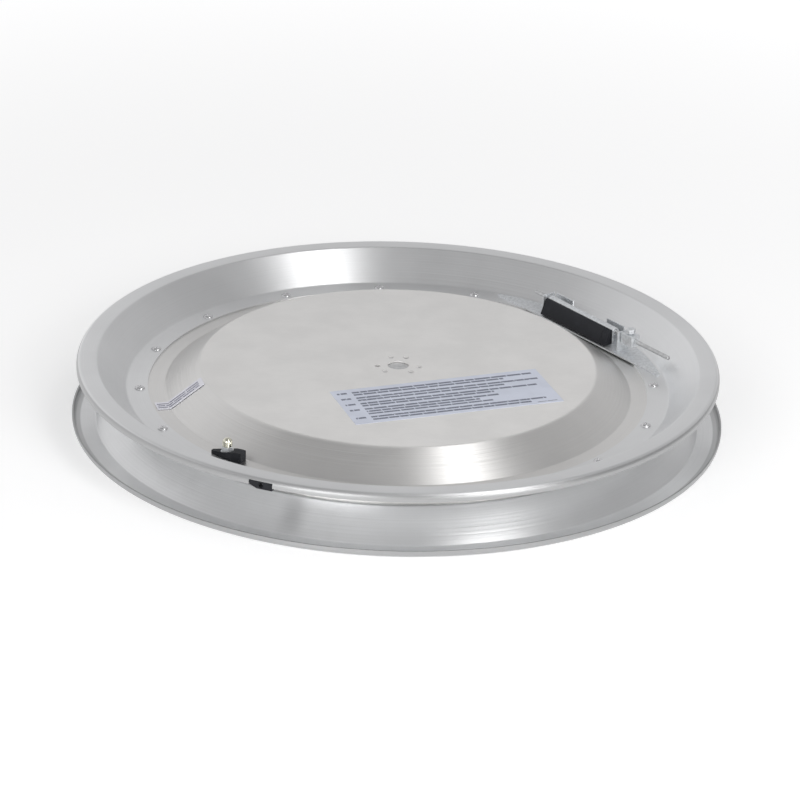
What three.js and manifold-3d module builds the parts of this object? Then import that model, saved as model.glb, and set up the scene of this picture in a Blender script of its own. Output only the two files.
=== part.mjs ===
// Spring-return reel drum in spun aluminium: two dished flanges set back to back make a V groove,
// and two raised spring covers close a flat power spring in between them.
// Millimetres, +Z up, origin at the centre of the face the drum stands on.
import * as THREE from 'three';
import { mergeVertices } from 'three/addons/utils/BufferGeometryUtils.js';
import Module from 'manifold-3d';

const wasm = await Module();
wasm.setup();

// ---- Driving sizes -------------------------------------------------------------------------
const DRUM_HEIGHT = 60; // lower lip face to upper lip face
const SHEET = 1.5; // flanges and covers
const ROOT_RADIUS = 253.5; // foot of the cones, where the groove is narrowest
const RING_WIDTH = 20; // flat ring inside the cone, which the rivets go through
const CONE_WIDTH = 27.5; // across the cone in plan
const UPPER_LIP_WIDTH = 19;
const LOWER_LIP_WIDTH = 23;
const LIP_CURL_RADIUS = 4.7;
const LIP_CURL_DEPTH = 7;
const FLANGE_BEND_RADIUS = 3.5;

const COVER_FOOT_GAP = 15.5; // from the ring's inner edge to the foot of the cover's cone
const COVER_CONE_WIDTH = 33;
const COVER_BELOW_LIP = 5; // the cover's flat plate lies this far inside the lip's plane
const COVER_FLANGE_SETBACK = 3; // the cover's flange stops this far short of the groove's root
const COVER_FOOT_BEND = 3;
const COVER_TOP_BEND = 5;

const RIVET_COUNT = 16;
const RIVET_FIRST_ANGLE = 5;
const RIVET_INSET = 7.5; // from the ring's inner edge
const RIVET_SHANK_RADIUS = 2.4;
const RIVET_HEAD_RADIUS = 4.8;
const RIVET_HEAD_HEIGHT = 1.9;
const RIVET_TAIL_RADIUS = 3.8;
const RIVET_TAIL_HEIGHT = 2.6;

const HUB_HOLE_RADIUS = 10; // centre hole of each cover
const HUB_SCREW_CIRCLE = 19.5;
const HUB_SCREW_PAIRS = [90, 210, 330];
const HUB_SCREW_SPREAD = 21.5;
const HUB_SCREW_HOLE_RADIUS = 2.75;
const HUB_TAPPED_RADIUS = 2.1;
const HUB_PLATE_RADIUS = 30;
const HUB_PLATE_THICKNESS = 4;
const BUSH_WALL = 2.5;
const BUSH_COLLAR_THICKNESS = 2;
const BUSH_COLLAR_WIDTH = 3;
const JOURNAL_RADIUS = 11;
const ARBOR_RADIUS = 17;
const ARBOR_SOCKET_ACROSS_FLATS = 12;
const ARBOR_SOCKET_DEPTH = 18;

const SPRING_THICKNESS = 1.2;
const SPRING_TURNS = 6;
const SPRING_STEPS_PER_TURN = 28;
const SPRING_HOOK_DEPTH = 5;
const SPRING_HOOK_BEND = 1.8;
const SPRING_SIDE_GAP = 1.5; // from the hub plates' and collars' faces
const ANCHOR_PIN_RADIUS = 4;
const ANCHOR_PIN_GAP = 9; // from the edge of the cover's flat plate
const ANCHOR_PIN_ANGLE = 150;
const ANCHOR_LOOP_WRAP = 230;

const CLAMP_ANGLE = -132.3; // rope clamp in the upper dish
const CLAMP_STUD_GAP = 8.2; // from the foot of the cover's cone
const CLAMP_TURN = 14.4; // from square to the drum's radius
const CLAMP_LEFT = -15.2; // along the wedge, from its stud
const CLAMP_RIGHT = 17.7;
const CLAMP_FRONT = -6.5;
const CLAMP_DEPTH_LEFT = 7;
const CLAMP_DEPTH_RIGHT = 14.5;
const CLAMP_HEIGHT_LEFT = 4;
const CLAMP_HEIGHT_RIGHT = 9.5;
const CLAMP_SEAT_HEIGHT = 5; // flat let into the wedge for the washer
const STUD_RADIUS = 3;
const STUD_STANDOUT = 3; // thread above the cap nut's flat
const NUT_ACROSS_FLATS = 10;
const NUT_HEIGHT = 5;
const WASHER_RADIUS = 6;
const WASHER_THICKNESS = 1.2;
const CAP_NUT_RADIUS = 4.6;
const CAP_NUT_HEIGHT = 8;

const GROMMET_ANGLE = -113.3; // where the rope leaves the groove through a notch in the curled edge
const GROMMET_WIDTH = 23;
const GROMMET_DEPTH = 8; // along the drum's radius
const GROMMET_HANG = 3; // below the curled edge
const GROMMET_SLOPE = 7; // cut off its lower corner, where the rope comes in
const GROMMET_BORE_RADIUS = 2.2;
const NOTCH_HEIGHT = 4.6;

const BRACKET_ANGLE = 38.43; // direction the clamp bracket faces, from the drum's axis
const BRACKET_FRONT_LAP = 0.5; // over the foot of the cover's cone
const BRACKET_LEFT_TRIM = 4.3; // cut off each pointed end of the plate
const BRACKET_RIGHT_TRIM = 6.8;
const BRACKET_SHEET = 1.5;
const BRACKET_EDGE_GAP = 2.5; // from the foot of the cone
const WALL_RIGHT_TRIM = 18; // how much the wall stops short of the plate's curved edge
const WALL_HEIGHT = 7;
const TAB_HEIGHT = 16;
const TAB_WIDTH = 25;
const LEFT_TAB_INSET = 0.5; // from the wall's ends
const RIGHT_TAB_INSET = 4;
const EAR_BEFORE_ROD = 7.9;
const EAR_BEHIND_ROD = 6.1;
const EAR_HEIGHT = 19;
const EAR_GAP = 2; // between an ear and the jaw, or the rivet beside it
const ROD_RADIUS = 2;
const ROD_BEHIND_FRONT = 13.4; // from the bracket's front edge
const ROD_ABOVE_PLATE = 14;
const ROD_LEFT = -79;
const ROD_PAST_PLATE = 0.5;
const JAW_LEFT = -56;
const JAW_RIGHT = 41;
const JAW_SHEET = 1.5;
const JAW_ABOVE_PLATE = 1.5;
const PAD_DEPTH = 9.3; // at its foot
const PAD_TOP_DEPTH = 2.2;
const PAD_HEIGHT = 15;
const COLLAR_GAP = 1.5; // between the right ear and the collar
const COLLAR_LENGTH = 15;
const COLLAR_SIZE = 10.5;
const COLLAR_SCREW_RADIUS = 2.5;
const COLLAR_SCREW_STANDOUT = 1.2; // neck between the collar and the screw's head
const COLLAR_SCREW_HEAD_ACROSS = 8;
const COLLAR_SCREW_HEAD_HEIGHT = 4;

const CAUTION_LABEL = { width: 202, height: 77, x: 45.5, y: -70, turn: 19.5 };
const RATING_LABEL = { width: 16, onFlange: 12.5, upCone: 31.5, angle: -165 };
const LABEL_THICKNESS = 0.3;

// ---- Fits ----------------------------------------------------------------------------------
const CLEARANCE = 0.3; // between pieces that touch on cut or turned faces
const ROUND_SEGMENTS = 48; // a multiple of four keeps the drum's box centred
const SMALL_SEGMENTS = 8;
const HUB_SEGMENTS = 24;
const WELD_DISTANCE = 1e-3;

// ---- Derived heights and radii -------------------------------------------------------------
const MIDDLE = DRUM_HEIGHT / 2;
const COVER_FLANGE_TOP = MIDDLE + SHEET;
const RING_TOP = COVER_FLANGE_TOP + SHEET;
const RING_INNER_RADIUS = ROOT_RADIUS - RING_WIDTH;
const CONE_TOP_RADIUS = ROOT_RADIUS + CONE_WIDTH;
const COVER_FOOT_RADIUS = RING_INNER_RADIUS - COVER_FOOT_GAP;
const COVER_TOP_RADIUS = COVER_FOOT_RADIUS - COVER_CONE_WIDTH;
const ANCHOR_PIN_CIRCLE = COVER_TOP_RADIUS - ANCHOR_PIN_GAP;
const CLAMP_STUD_CIRCLE = COVER_FOOT_RADIUS + CLAMP_STUD_GAP;
const UPPER_RIM = CONE_TOP_RADIUS + UPPER_LIP_WIDTH;
const CURL_FOOT = DRUM_HEIGHT - LIP_CURL_DEPTH;
const COVER_FLANGE_RADIUS = ROOT_RADIUS - COVER_FLANGE_SETBACK;
const COVER_TOP = DRUM_HEIGHT - COVER_BELOW_LIP;
const COVER_INSIDE = COVER_TOP - SHEET;
const RIVET_CIRCLE = RING_INNER_RADIUS + RIVET_INSET;
const HUB_PLATE_UNDERSIDE = COVER_INSIDE - HUB_PLATE_THICKNESS;
const BUSH_END = HUB_PLATE_UNDERSIDE - BUSH_COLLAR_THICKNESS;
const ARBOR_SHOULDER = BUSH_END - CLEARANCE;
const BUSH_INNER_RADIUS = JOURNAL_RADIUS + CLEARANCE;
const BUSH_OUTER_RADIUS = BUSH_INNER_RADIUS + BUSH_WALL;
const BRACKET_TOP = RING_TOP + BRACKET_SHEET;
const BRACKET_FRONT = COVER_FOOT_RADIUS - BRACKET_FRONT_LAP;
const ROD_DISTANCE = BRACKET_FRONT + ROD_BEHIND_FRONT;
const ROD_HEIGHT = BRACKET_TOP + ROD_ABOVE_PLATE;
const CONE_RISE = DRUM_HEIGHT - RING_TOP;

const degrees = THREE.MathUtils.degToRad;
const polar = (radius, angle) => [
  radius * Math.cos(degrees(angle)),
  radius * Math.sin(degrees(angle)),
];

// ---- Materials -----------------------------------------------------------------------------
const FINISHES = {
  spun_aluminium: { color: 0xc9cacb, roughness: 0.3, metalness: 1 },
  cover_aluminium: { color: 0xc6c5c1, roughness: 0.42, metalness: 1 },
  rivet_aluminium: { color: 0xd6d7d8, roughness: 0.28, metalness: 1 },
  zinc_plate: { color: 0xb6bbbf, roughness: 0.35, metalness: 1 },
  yellow_zinc: { color: 0xd3cda6, roughness: 0.28, metalness: 1 },
  black_rubber: { color: 0x131415, roughness: 0.75, metalness: 0 },
  spring_steel: { color: 0x5c6166, roughness: 0.4, metalness: 1 },
  machined_steel: { color: 0x9a9da0, roughness: 0.35, metalness: 1 },
  bearing_bronze: { color: 0xa8854c, roughness: 0.4, metalness: 1 },
  label_film: { color: 0xc3c9d6, roughness: 0.45, metalness: 0 },
  label_paper: { color: 0xe4e5ea, roughness: 0.5, metalness: 0 },
};

// ---- Shape helpers -------------------------------------------------------------------------
/** Turns a closed geometry into a manifold solid. */
function solid(geometry) {
  const bare = geometry.index ? geometry.toNonIndexed() : geometry.clone();
  bare.deleteAttribute('normal');
  bare.deleteAttribute('uv');
  const merged = mergeVertices(bare, WELD_DISTANCE);
  const corners = merged.index.array;
  const kept = [];
  for (let i = 0; i < corners.length; i += 3) {
    const [a, b, c] = [corners[i], corners[i + 1], corners[i + 2]];
    if (a !== b && b !== c && c !== a) kept.push(a, b, c);
  }
  return new wasm.Manifold(new wasm.Mesh({
    numProp: 3,
    vertProperties: merged.attributes.position.array,
    triVerts: new Uint32Array(kept),
  }));
}

/** Solid of revolution about Z. The (r, z) outline runs anticlockwise, or from axis to axis. */
function turned(outline, segments = ROUND_SEGMENTS) {
  const points = outline.map(([r, z]) => new THREE.Vector2(r, z));
  const onAxis = outline[0][0] === 0 && outline[outline.length - 1][0] === 0;
  if (!onAxis) points.push(points[0].clone());
  return solid(new THREE.LatheGeometry(points, segments).rotateX(Math.PI / 2));
}

/** Upright round bar or tube between two heights. */
function bar(radius, bottom, top, segments = SMALL_SEGMENTS, bore = 0) {
  if (bore === 0) return turned([[0, bottom], [radius, bottom], [radius, top], [0, top]], segments);
  return turned([[bore, bottom], [radius, bottom], [radius, top], [bore, top]], segments);
}

/** Upright prism over an anticlockwise (x, y) outline. */
function prism(outline, bottom, top) {
  const shape = new THREE.Shape(outline.map(([x, y]) => new THREE.Vector2(x, y)));
  const settings = { depth: top - bottom, bevelEnabled: false };
  return solid(new THREE.ExtrudeGeometry(shape, settings).translate(0, 0, bottom));
}

/** Prism along X over an anticlockwise (y, z) outline. */
function prismAlongX(outline, left, right) {
  const shape = new THREE.Shape(outline.map(([y, z]) => new THREE.Vector2(y, z)));
  const settings = { depth: right - left, bevelEnabled: false };
  const turn = new THREE.Matrix4().makeBasis(
    new THREE.Vector3(0, 1, 0),
    new THREE.Vector3(0, 0, 1),
    new THREE.Vector3(1, 0, 0),
  );
  return solid(new THREE.ExtrudeGeometry(shape, settings).applyMatrix4(turn).translate(left, 0, 0));
}

const box = (x0, x1, y0, y1, z0, z1) => prism([[x0, y0], [x1, y0], [x1, y1], [x0, y1]], z0, z1);

function regularPolygon(sides, acrossFlats, turn = 0) {
  const radius = acrossFlats / 2 / Math.cos(Math.PI / sides);
  return Array.from({ length: sides }, (_, i) => polar(radius, turn + (360 * i) / sides));
}

/** Rounds each inner corner of a path: corners are [r, z, bend radius, steps]. */
function rounded(corners) {
  const path = [];
  corners.forEach(([x, y, radius = 0, steps = 0], i) => {
    if (radius === 0) {
      path.push([x, y]);
      return;
    }
    const at = new THREE.Vector2(x, y);
    const before = new THREE.Vector2(corners[i - 1][0], corners[i - 1][1]).sub(at).normalize();
    const after = new THREE.Vector2(corners[i + 1][0], corners[i + 1][1]).sub(at).normalize();
    const half = Math.acos(THREE.MathUtils.clamp(before.dot(after), -1, 1)) / 2;
    const reach = radius / Math.tan(half);
    const towards = before.clone().add(after).normalize();
    const centre = at.clone().addScaledVector(towards, radius / Math.sin(half));
    const start = at.clone().addScaledVector(before, reach).sub(centre);
    const end = at.clone().addScaledVector(after, reach).sub(centre);
    const sweep = Math.atan2(start.cross(end), start.dot(end));
    for (let k = 0; k <= steps; k += 1) {
      const spoke = start.clone().rotateAround(new THREE.Vector2(), (sweep * k) / steps);
      path.push([centre.x + spoke.x, centre.y + spoke.y]);
    }
  });
  return path;
}

/** Copy of a path moved sideways; a positive distance is to the right of travel. */
function offsetPath(path, distance) {
  return path.map(([x, y], i) => {
    const previous = path[Math.max(i - 1, 0)];
    const next = path[Math.min(i + 1, path.length - 1)];
    const into = new THREE.Vector2(x - previous[0], y - previous[1]);
    const out = new THREE.Vector2(next[0] - x, next[1] - y);
    if (into.lengthSq() === 0) into.copy(out);
    if (out.lengthSq() === 0) out.copy(into);
    into.normalize();
    out.normalize();
    const along = into.clone().add(out).normalize();
    const scale = distance / along.dot(into);
    return [x + along.y * scale, y - along.x * scale];
  });
}

const mirrored = (outline) => outline.map(([r, z]) => [r, DRUM_HEIGHT - z]).reverse();

const root = new THREE.Group();

/** Adds a solid to the scene as a named mesh. */
function piece(name, body, finish, parent = root) {
  const made = body.getMesh();
  const geometry = new THREE.BufferGeometry();
  geometry.setAttribute('position', new THREE.BufferAttribute(made.vertProperties, 3));
  geometry.setIndex(new THREE.BufferAttribute(made.triVerts, 1));
  geometry.computeVertexNormals();
  const mesh = new THREE.Mesh(geometry, new THREE.MeshStandardMaterial(FINISHES[finish]));
  mesh.name = name;
  parent.add(mesh);
  return mesh;
}

// ---- Flanges and spring covers -------------------------------------------------------------
const rivetAngles = Array.from(
  { length: RIVET_COUNT },
  (_, k) => RIVET_FIRST_ANGLE + (360 * k) / RIVET_COUNT,
);

function rivetHoles(bottom, top) {
  const hole = bar(RIVET_SHANK_RADIUS + CLEARANCE, bottom, top);
  return wasm.Manifold.union(rivetAngles.map((angle) => hole.translate([...polar(RIVET_CIRCLE, angle), 0])));
}

function hubHoles(radius, bottom, top) {
  const hole = bar(radius, bottom, top);
  const angles = HUB_SCREW_PAIRS.flatMap((at) => [at - HUB_SCREW_SPREAD, at + HUB_SCREW_SPREAD]);
  return wasm.Manifold.union(angles.map((angle) => hole.translate([...polar(HUB_SCREW_CIRCLE, angle), 0])));
}

/** Flange section: flat ring, cone, flat lip and an edge curled back over the groove. */
function flangeOutline(lipWidth) {
  const rim = CONE_TOP_RADIUS + lipWidth;
  const face = rounded([
    [RING_INNER_RADIUS, RING_TOP],
    [ROOT_RADIUS, RING_TOP, FLANGE_BEND_RADIUS, 2],
    [CONE_TOP_RADIUS, DRUM_HEIGHT, FLANGE_BEND_RADIUS, 2],
    [rim, DRUM_HEIGHT, LIP_CURL_RADIUS, 4],
    [rim, DRUM_HEIGHT - LIP_CURL_DEPTH],
  ]);
  return [...offsetPath(face, SHEET), ...face.reverse()];
}

/** Cover section: flange under the ring, cone and flat plate with a centre hole. */
function coverOutline() {
  const face = rounded([
    [COVER_FLANGE_RADIUS, COVER_FLANGE_TOP],
    [COVER_FOOT_RADIUS, COVER_FLANGE_TOP, COVER_FOOT_BEND, 2],
    [COVER_TOP_RADIUS, COVER_TOP, COVER_TOP_BEND, 2],
    [HUB_HOLE_RADIUS, COVER_TOP],
  ]);
  return [...face, ...offsetPath(face, -SHEET).reverse()];
}

const notch = box(
  UPPER_RIM - GROMMET_DEPTH, UPPER_RIM + SHEET,
  -GROMMET_WIDTH / 2, GROMMET_WIDTH / 2,
  CURL_FOOT - SHEET, CURL_FOOT + NOTCH_HEIGHT,
).rotate([0, 0, GROMMET_ANGLE]);
const stackHoles = rivetHoles(0, DRUM_HEIGHT);
const hubFlangeHoles = hubHoles(HUB_SCREW_HOLE_RADIUS, 0, DRUM_HEIGHT);

const upperFlange = turned(flangeOutline(UPPER_LIP_WIDTH));
const lowerFlange = turned(mirrored(flangeOutline(LOWER_LIP_WIDTH)));
piece('upper_flange', upperFlange.subtract(stackHoles).subtract(notch), 'spun_aluminium');
piece('lower_flange', lowerFlange.subtract(stackHoles), 'spun_aluminium');

const coverCuts = stackHoles.add(hubFlangeHoles);
piece('upper_spring_cover', turned(coverOutline()).subtract(coverCuts), 'cover_aluminium');
piece('lower_spring_cover', turned(mirrored(coverOutline())).subtract(coverCuts), 'cover_aluminium');

// ---- Rivets: the two under the clamp bracket also hold its plate ----------------------------
const bracketHalfAngle = 360 / RIVET_COUNT;
const underBracket = (angle) => Math.abs(angle - BRACKET_ANGLE) < bracketHalfAngle;

function rivet(seat) {
  const tailSeat = DRUM_HEIGHT - RING_TOP;
  const tailEnd = tailSeat - RIVET_TAIL_HEIGHT;
  return turned([
    [0, tailEnd],
    [RIVET_TAIL_RADIUS * 0.7, tailEnd],
    [RIVET_TAIL_RADIUS, tailEnd + RIVET_TAIL_HEIGHT * 0.45],
    [RIVET_TAIL_RADIUS, tailSeat],
    [RIVET_SHANK_RADIUS, tailSeat],
    [RIVET_SHANK_RADIUS, seat],
    [RIVET_HEAD_RADIUS, seat],
    [RIVET_HEAD_RADIUS * 0.85, seat + RIVET_HEAD_HEIGHT * 0.6],
    [RIVET_HEAD_RADIUS * 0.45, seat + RIVET_HEAD_HEIGHT],
    [0, seat + RIVET_HEAD_HEIGHT],
  ], SMALL_SEGMENTS);
}

rivetAngles.forEach((angle, k) => {
  const seat = underBracket(angle) ? BRACKET_TOP : RING_TOP;
  const name = `rivet_${String(k + 1).padStart(2, '0')}`;
  piece(name, rivet(seat), 'rivet_aluminium').position.set(...polar(RIVET_CIRCLE, angle), 0);
});

// ---- Hub plates, bushes and the arbor they carry --------------------------------------------
function hubPlate() {
  const bore = BUSH_OUTER_RADIUS + CLEARANCE;
  const plate = bar(HUB_PLATE_RADIUS, HUB_PLATE_UNDERSIDE, COVER_INSIDE, HUB_SEGMENTS, bore);
  return plate.subtract(hubHoles(HUB_TAPPED_RADIUS, 0, DRUM_HEIGHT));
}

function bush() {
  return turned([
    [BUSH_INNER_RADIUS, BUSH_END],
    [BUSH_OUTER_RADIUS + BUSH_COLLAR_WIDTH, BUSH_END],
    [BUSH_OUTER_RADIUS + BUSH_COLLAR_WIDTH, HUB_PLATE_UNDERSIDE],
    [BUSH_OUTER_RADIUS, HUB_PLATE_UNDERSIDE],
    [BUSH_OUTER_RADIUS, COVER_INSIDE],
    [BUSH_INNER_RADIUS, COVER_INSIDE],
  ], HUB_SEGMENTS);
}

/** The same piece for the lower cover, turned over about the drum's middle plane. */
const turnedOver = (body) => body.mirror([0, 0, 1]).translate([0, 0, DRUM_HEIGHT]);

piece('upper_hub_plate', hubPlate(), 'machined_steel');
piece('lower_hub_plate', turnedOver(hubPlate()), 'machined_steel');
piece('upper_bush', bush(), 'bearing_bronze');
piece('lower_bush', turnedOver(bush()), 'bearing_bronze');

const arborEnd = COVER_INSIDE - CLEARANCE;
const slotHalfWidth = SPRING_THICKNESS / 2 + CLEARANCE;
const slotFloor = ARBOR_RADIUS - SPRING_HOOK_DEPTH - CLEARANCE;
const arborBlank = turned([
  [0, DRUM_HEIGHT - arborEnd],
  [JOURNAL_RADIUS, DRUM_HEIGHT - arborEnd],
  [JOURNAL_RADIUS, DRUM_HEIGHT - ARBOR_SHOULDER],
  [ARBOR_RADIUS, DRUM_HEIGHT - ARBOR_SHOULDER],
  [ARBOR_RADIUS, ARBOR_SHOULDER],
  [JOURNAL_RADIUS, ARBOR_SHOULDER],
  [JOURNAL_RADIUS, arborEnd],
  [0, arborEnd],
], HUB_SEGMENTS);
const hookSlot = box(
  slotFloor, ARBOR_RADIUS + 1, -slotHalfWidth, slotHalfWidth,
  DRUM_HEIGHT - ARBOR_SHOULDER - 1, ARBOR_SHOULDER + 1,
);
const driveSocket = prism(
  regularPolygon(6, ARBOR_SOCKET_ACROSS_FLATS), 0, DRUM_HEIGHT - arborEnd + ARBOR_SOCKET_DEPTH,
);
piece('arbor', arborBlank.subtract(hookSlot).subtract(driveSocket), 'machined_steel');

// ---- Flat power spring, hooked in the arbor's slot and looped round the anchor pin -----------
const anchorPinAt = polar(ANCHOR_PIN_CIRCLE, ANCHOR_PIN_ANGLE);
const loopRadius = ANCHOR_PIN_RADIUS + CLEARANCE + SPRING_THICKNESS / 2;

function springPath() {
  const hookEnd = ARBOR_RADIUS - SPRING_HOOK_DEPTH;
  const path = rounded([
    [hookEnd, 0],
    [ARBOR_RADIUS + SPRING_HOOK_BEND, 0, SPRING_HOOK_BEND, 3],
    [ARBOR_RADIUS + SPRING_HOOK_BEND, 2 * SPRING_HOOK_BEND],
  ]);
  const innerRadius = Math.hypot(ARBOR_RADIUS + SPRING_HOOK_BEND, 2 * SPRING_HOOK_BEND);
  const innerAngle = THREE.MathUtils.radToDeg(
    Math.atan2(2 * SPRING_HOOK_BEND, ARBOR_RADIUS + SPRING_HOOK_BEND),
  );
  const sweep = 360 * SPRING_TURNS + ANCHOR_PIN_ANGLE - innerAngle;
  const steps = Math.round((sweep / 360) * SPRING_STEPS_PER_TURN);
  const outerRadius = ANCHOR_PIN_CIRCLE - loopRadius;
  for (let k = 1; k <= steps; k += 1) {
    const share = k / steps;
    path.push(polar(
      innerRadius + (outerRadius - innerRadius) * share,
      innerAngle + sweep * share,
    ));
  }
  const loopSteps = 10;
  for (let k = 1; k <= loopSteps; k += 1) {
    const [x, y] = polar(loopRadius, ANCHOR_PIN_ANGLE + 180 - (ANCHOR_LOOP_WRAP * k) / loopSteps);
    path.push([anchorPinAt[0] + x, anchorPinAt[1] + y]);
  }
  return path;
}

const springCentre = springPath();
const springOutline = [
  ...offsetPath(springCentre, SPRING_THICKNESS / 2),
  ...offsetPath(springCentre, -SPRING_THICKNESS / 2).reverse(),
];
const springTop = BUSH_END - SPRING_SIDE_GAP;
piece('power_spring', prism(springOutline, DRUM_HEIGHT - springTop, springTop), 'spring_steel');

const anchorPin = bar(ANCHOR_PIN_RADIUS, DRUM_HEIGHT - COVER_INSIDE, COVER_INSIDE, 12);
piece('spring_anchor_pin', anchorPin, 'machined_steel').position.set(...anchorPinAt, 0);

// ---- Rope clamp: wedge, stud, washer, nut and cap nut on the cover's flange -------------------
const clampGroup = new THREE.Group();
clampGroup.position.set(...polar(CLAMP_STUD_CIRCLE, CLAMP_ANGLE), 0);
clampGroup.rotation.z = degrees(CLAMP_ANGLE + 90 + CLAMP_TURN);
root.add(clampGroup);

const washerSeat = COVER_FLANGE_TOP + CLAMP_SEAT_HEIGHT;
const wedgeOutline = [
  [CLAMP_LEFT, CLAMP_FRONT],
  [CLAMP_RIGHT, CLAMP_FRONT],
  [CLAMP_RIGHT, CLAMP_FRONT + CLAMP_DEPTH_RIGHT],
  [CLAMP_LEFT, CLAMP_FRONT + CLAMP_DEPTH_LEFT],
];
const wedgeSlope = (CLAMP_HEIGHT_RIGHT - CLAMP_HEIGHT_LEFT) / (CLAMP_RIGHT - CLAMP_LEFT);
const wedgeTopAtStud = COVER_FLANGE_TOP + CLAMP_HEIGHT_LEFT - CLAMP_LEFT * wedgeSlope;
// The wedge lies between the foot of the cover's cone and the inner edge of the flange's ring.
const clampLand = bar(
  RING_INNER_RADIUS - CLEARANCE, 0, DRUM_HEIGHT, ROUND_SEGMENTS,
  COVER_FOOT_RADIUS + COVER_FOOT_BEND / 2,
);
const landFromClamp = clampLand
  .rotate([0, 0, -(CLAMP_ANGLE + 90 + CLAMP_TURN)])
  .translate([
    -CLAMP_STUD_CIRCLE * Math.cos(degrees(90 + CLAMP_TURN)),
    CLAMP_STUD_CIRCLE * Math.sin(degrees(90 + CLAMP_TURN)),
    0,
  ]);
const studBore = bar(STUD_RADIUS + CLEARANCE, 0, DRUM_HEIGHT, 12);
const wedge = prism(wedgeOutline, COVER_FLANGE_TOP, COVER_FLANGE_TOP + CLAMP_HEIGHT_RIGHT)
  .trimByPlane([wedgeSlope, 0, -1], -wedgeTopAtStud)
  .intersect(landFromClamp)
  .subtract(bar(WASHER_RADIUS + CLEARANCE, washerSeat, DRUM_HEIGHT, 16))
  .subtract(studBore);
piece('rope_clamp_wedge', wedge, 'black_rubber', clampGroup);

const washerTop = washerSeat + WASHER_THICKNESS;
const nutTop = washerTop + NUT_HEIGHT;
const studTop = nutTop + STUD_STANDOUT;
const nutBore = STUD_RADIUS + CLEARANCE;
piece('rope_clamp_stud', bar(STUD_RADIUS, COVER_FLANGE_TOP, studTop, 12), 'zinc_plate', clampGroup);
piece('rope_clamp_washer', bar(WASHER_RADIUS, washerSeat, washerTop, 16, nutBore), 'zinc_plate', clampGroup);
const hexagon = prism(regularPolygon(6, NUT_ACROSS_FLATS), washerTop, nutTop);
piece('rope_clamp_nut', hexagon.subtract(studBore), 'zinc_plate', clampGroup);
const capOutline = [
  [0, studTop + CLEARANCE],
  [nutBore, studTop + CLEARANCE],
  [nutBore, nutTop],
  [CAP_NUT_RADIUS, nutTop],
  [CAP_NUT_RADIUS, nutTop + CAP_NUT_HEIGHT * 0.5],
  [CAP_NUT_RADIUS * 0.8, nutTop + CAP_NUT_HEIGHT * 0.82],
  [CAP_NUT_RADIUS * 0.4, nutTop + CAP_NUT_HEIGHT],
  [0, nutTop + CAP_NUT_HEIGHT],
];
piece('rope_clamp_cap_nut', turned(capOutline, 12), 'yellow_zinc', clampGroup);

// ---- Rubber grommet in the notch where the rope leaves the groove -----------------------------
const grommetFoot = CURL_FOOT - GROMMET_HANG;
const grommetTop = CURL_FOOT + NOTCH_HEIGHT - CLEARANCE;
const grommetBore = bar(GROMMET_BORE_RADIUS, -GROMMET_DEPTH, GROMMET_DEPTH, 12)
  .rotate([0, 90, 0])
  .translate([UPPER_RIM, 0, (grommetFoot + grommetTop) / 2]);
const grommetHalf = GROMMET_WIDTH / 2 - CLEARANCE;
const grommetOutline = [
  [GROMMET_SLOPE - grommetHalf, grommetFoot],
  [grommetHalf, grommetFoot],
  [grommetHalf, grommetTop],
  [-grommetHalf, grommetTop],
  [-grommetHalf, CURL_FOOT],
];
const grommetBlock = prismAlongX(grommetOutline, UPPER_RIM - GROMMET_DEPTH, UPPER_RIM - 2 * CLEARANCE);
piece('rope_grommet', grommetBlock.subtract(grommetBore).rotate([0, 0, GROMMET_ANGLE]), 'black_rubber');

// ---- Clamp bracket: X runs along its front edge and Y away from the drum's axis ---------------
const bracketGroup = new THREE.Group();
bracketGroup.rotation.z = degrees(BRACKET_ANGLE - 90);
root.add(bracketGroup);

const plateArcRadius = ROOT_RADIUS - BRACKET_EDGE_GAP;
const plateHalfChord = Math.sqrt(plateArcRadius ** 2 - BRACKET_FRONT ** 2);
const plateLeft = BRACKET_LEFT_TRIM - plateHalfChord;
const plateRight = plateHalfChord - BRACKET_RIGHT_TRIM;
const rodRight = plateRight + ROD_PAST_PLATE;
const arcSteps = 12;
const arcFrom = Math.acos(plateRight / plateArcRadius);
const arcTo = Math.acos(plateLeft / plateArcRadius);
const plateOutline = [[plateLeft, BRACKET_FRONT], [plateRight, BRACKET_FRONT]];
for (let k = 0; k <= arcSteps; k += 1) {
  const angle = arcFrom + ((arcTo - arcFrom) * k) / arcSteps;
  plateOutline.push([plateArcRadius * Math.cos(angle), plateArcRadius * Math.sin(angle)]);
}
const bracketRivets = rivetAngles
  .filter(underBracket)
  .map((angle) => polar(RIVET_CIRCLE, angle - BRACKET_ANGLE + 90));
const lastRivet = Math.max(...bracketRivets.map(([x]) => x));
// The wall stands just behind the rivet heads, and ends where the plate's curved edge cuts it.
const wallFront = Math.max(...bracketRivets.map(([, y]) => y)) + RIVET_HEAD_RADIUS + CLEARANCE;
const wallBack = wallFront + BRACKET_SHEET;
const wallHalf = Math.sqrt(plateArcRadius ** 2 - wallBack ** 2);
const wallLeft = -wallHalf;
const wallRight = wallHalf - WALL_RIGHT_TRIM;
const tabs = [
  [wallLeft + LEFT_TAB_INSET, wallLeft + LEFT_TAB_INSET + TAB_WIDTH],
  [wallRight - RIGHT_TAB_INSET - TAB_WIDTH, wallRight - RIGHT_TAB_INSET],
];
let bracket = prism(plateOutline, RING_TOP, BRACKET_TOP);
bracket = bracket.add(
  box(wallLeft, wallRight, wallFront, wallBack, RING_TOP, BRACKET_TOP + WALL_HEIGHT),
);
for (const [left, right] of tabs) {
  bracket = bracket.add(box(left, right, wallFront, wallBack, RING_TOP, BRACKET_TOP + TAB_HEIGHT));
}
const leftEar = JAW_LEFT - EAR_GAP - BRACKET_SHEET;
const rightEar = Math.max(JAW_RIGHT, lastRivet + RIVET_HEAD_RADIUS) + EAR_GAP;
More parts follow.
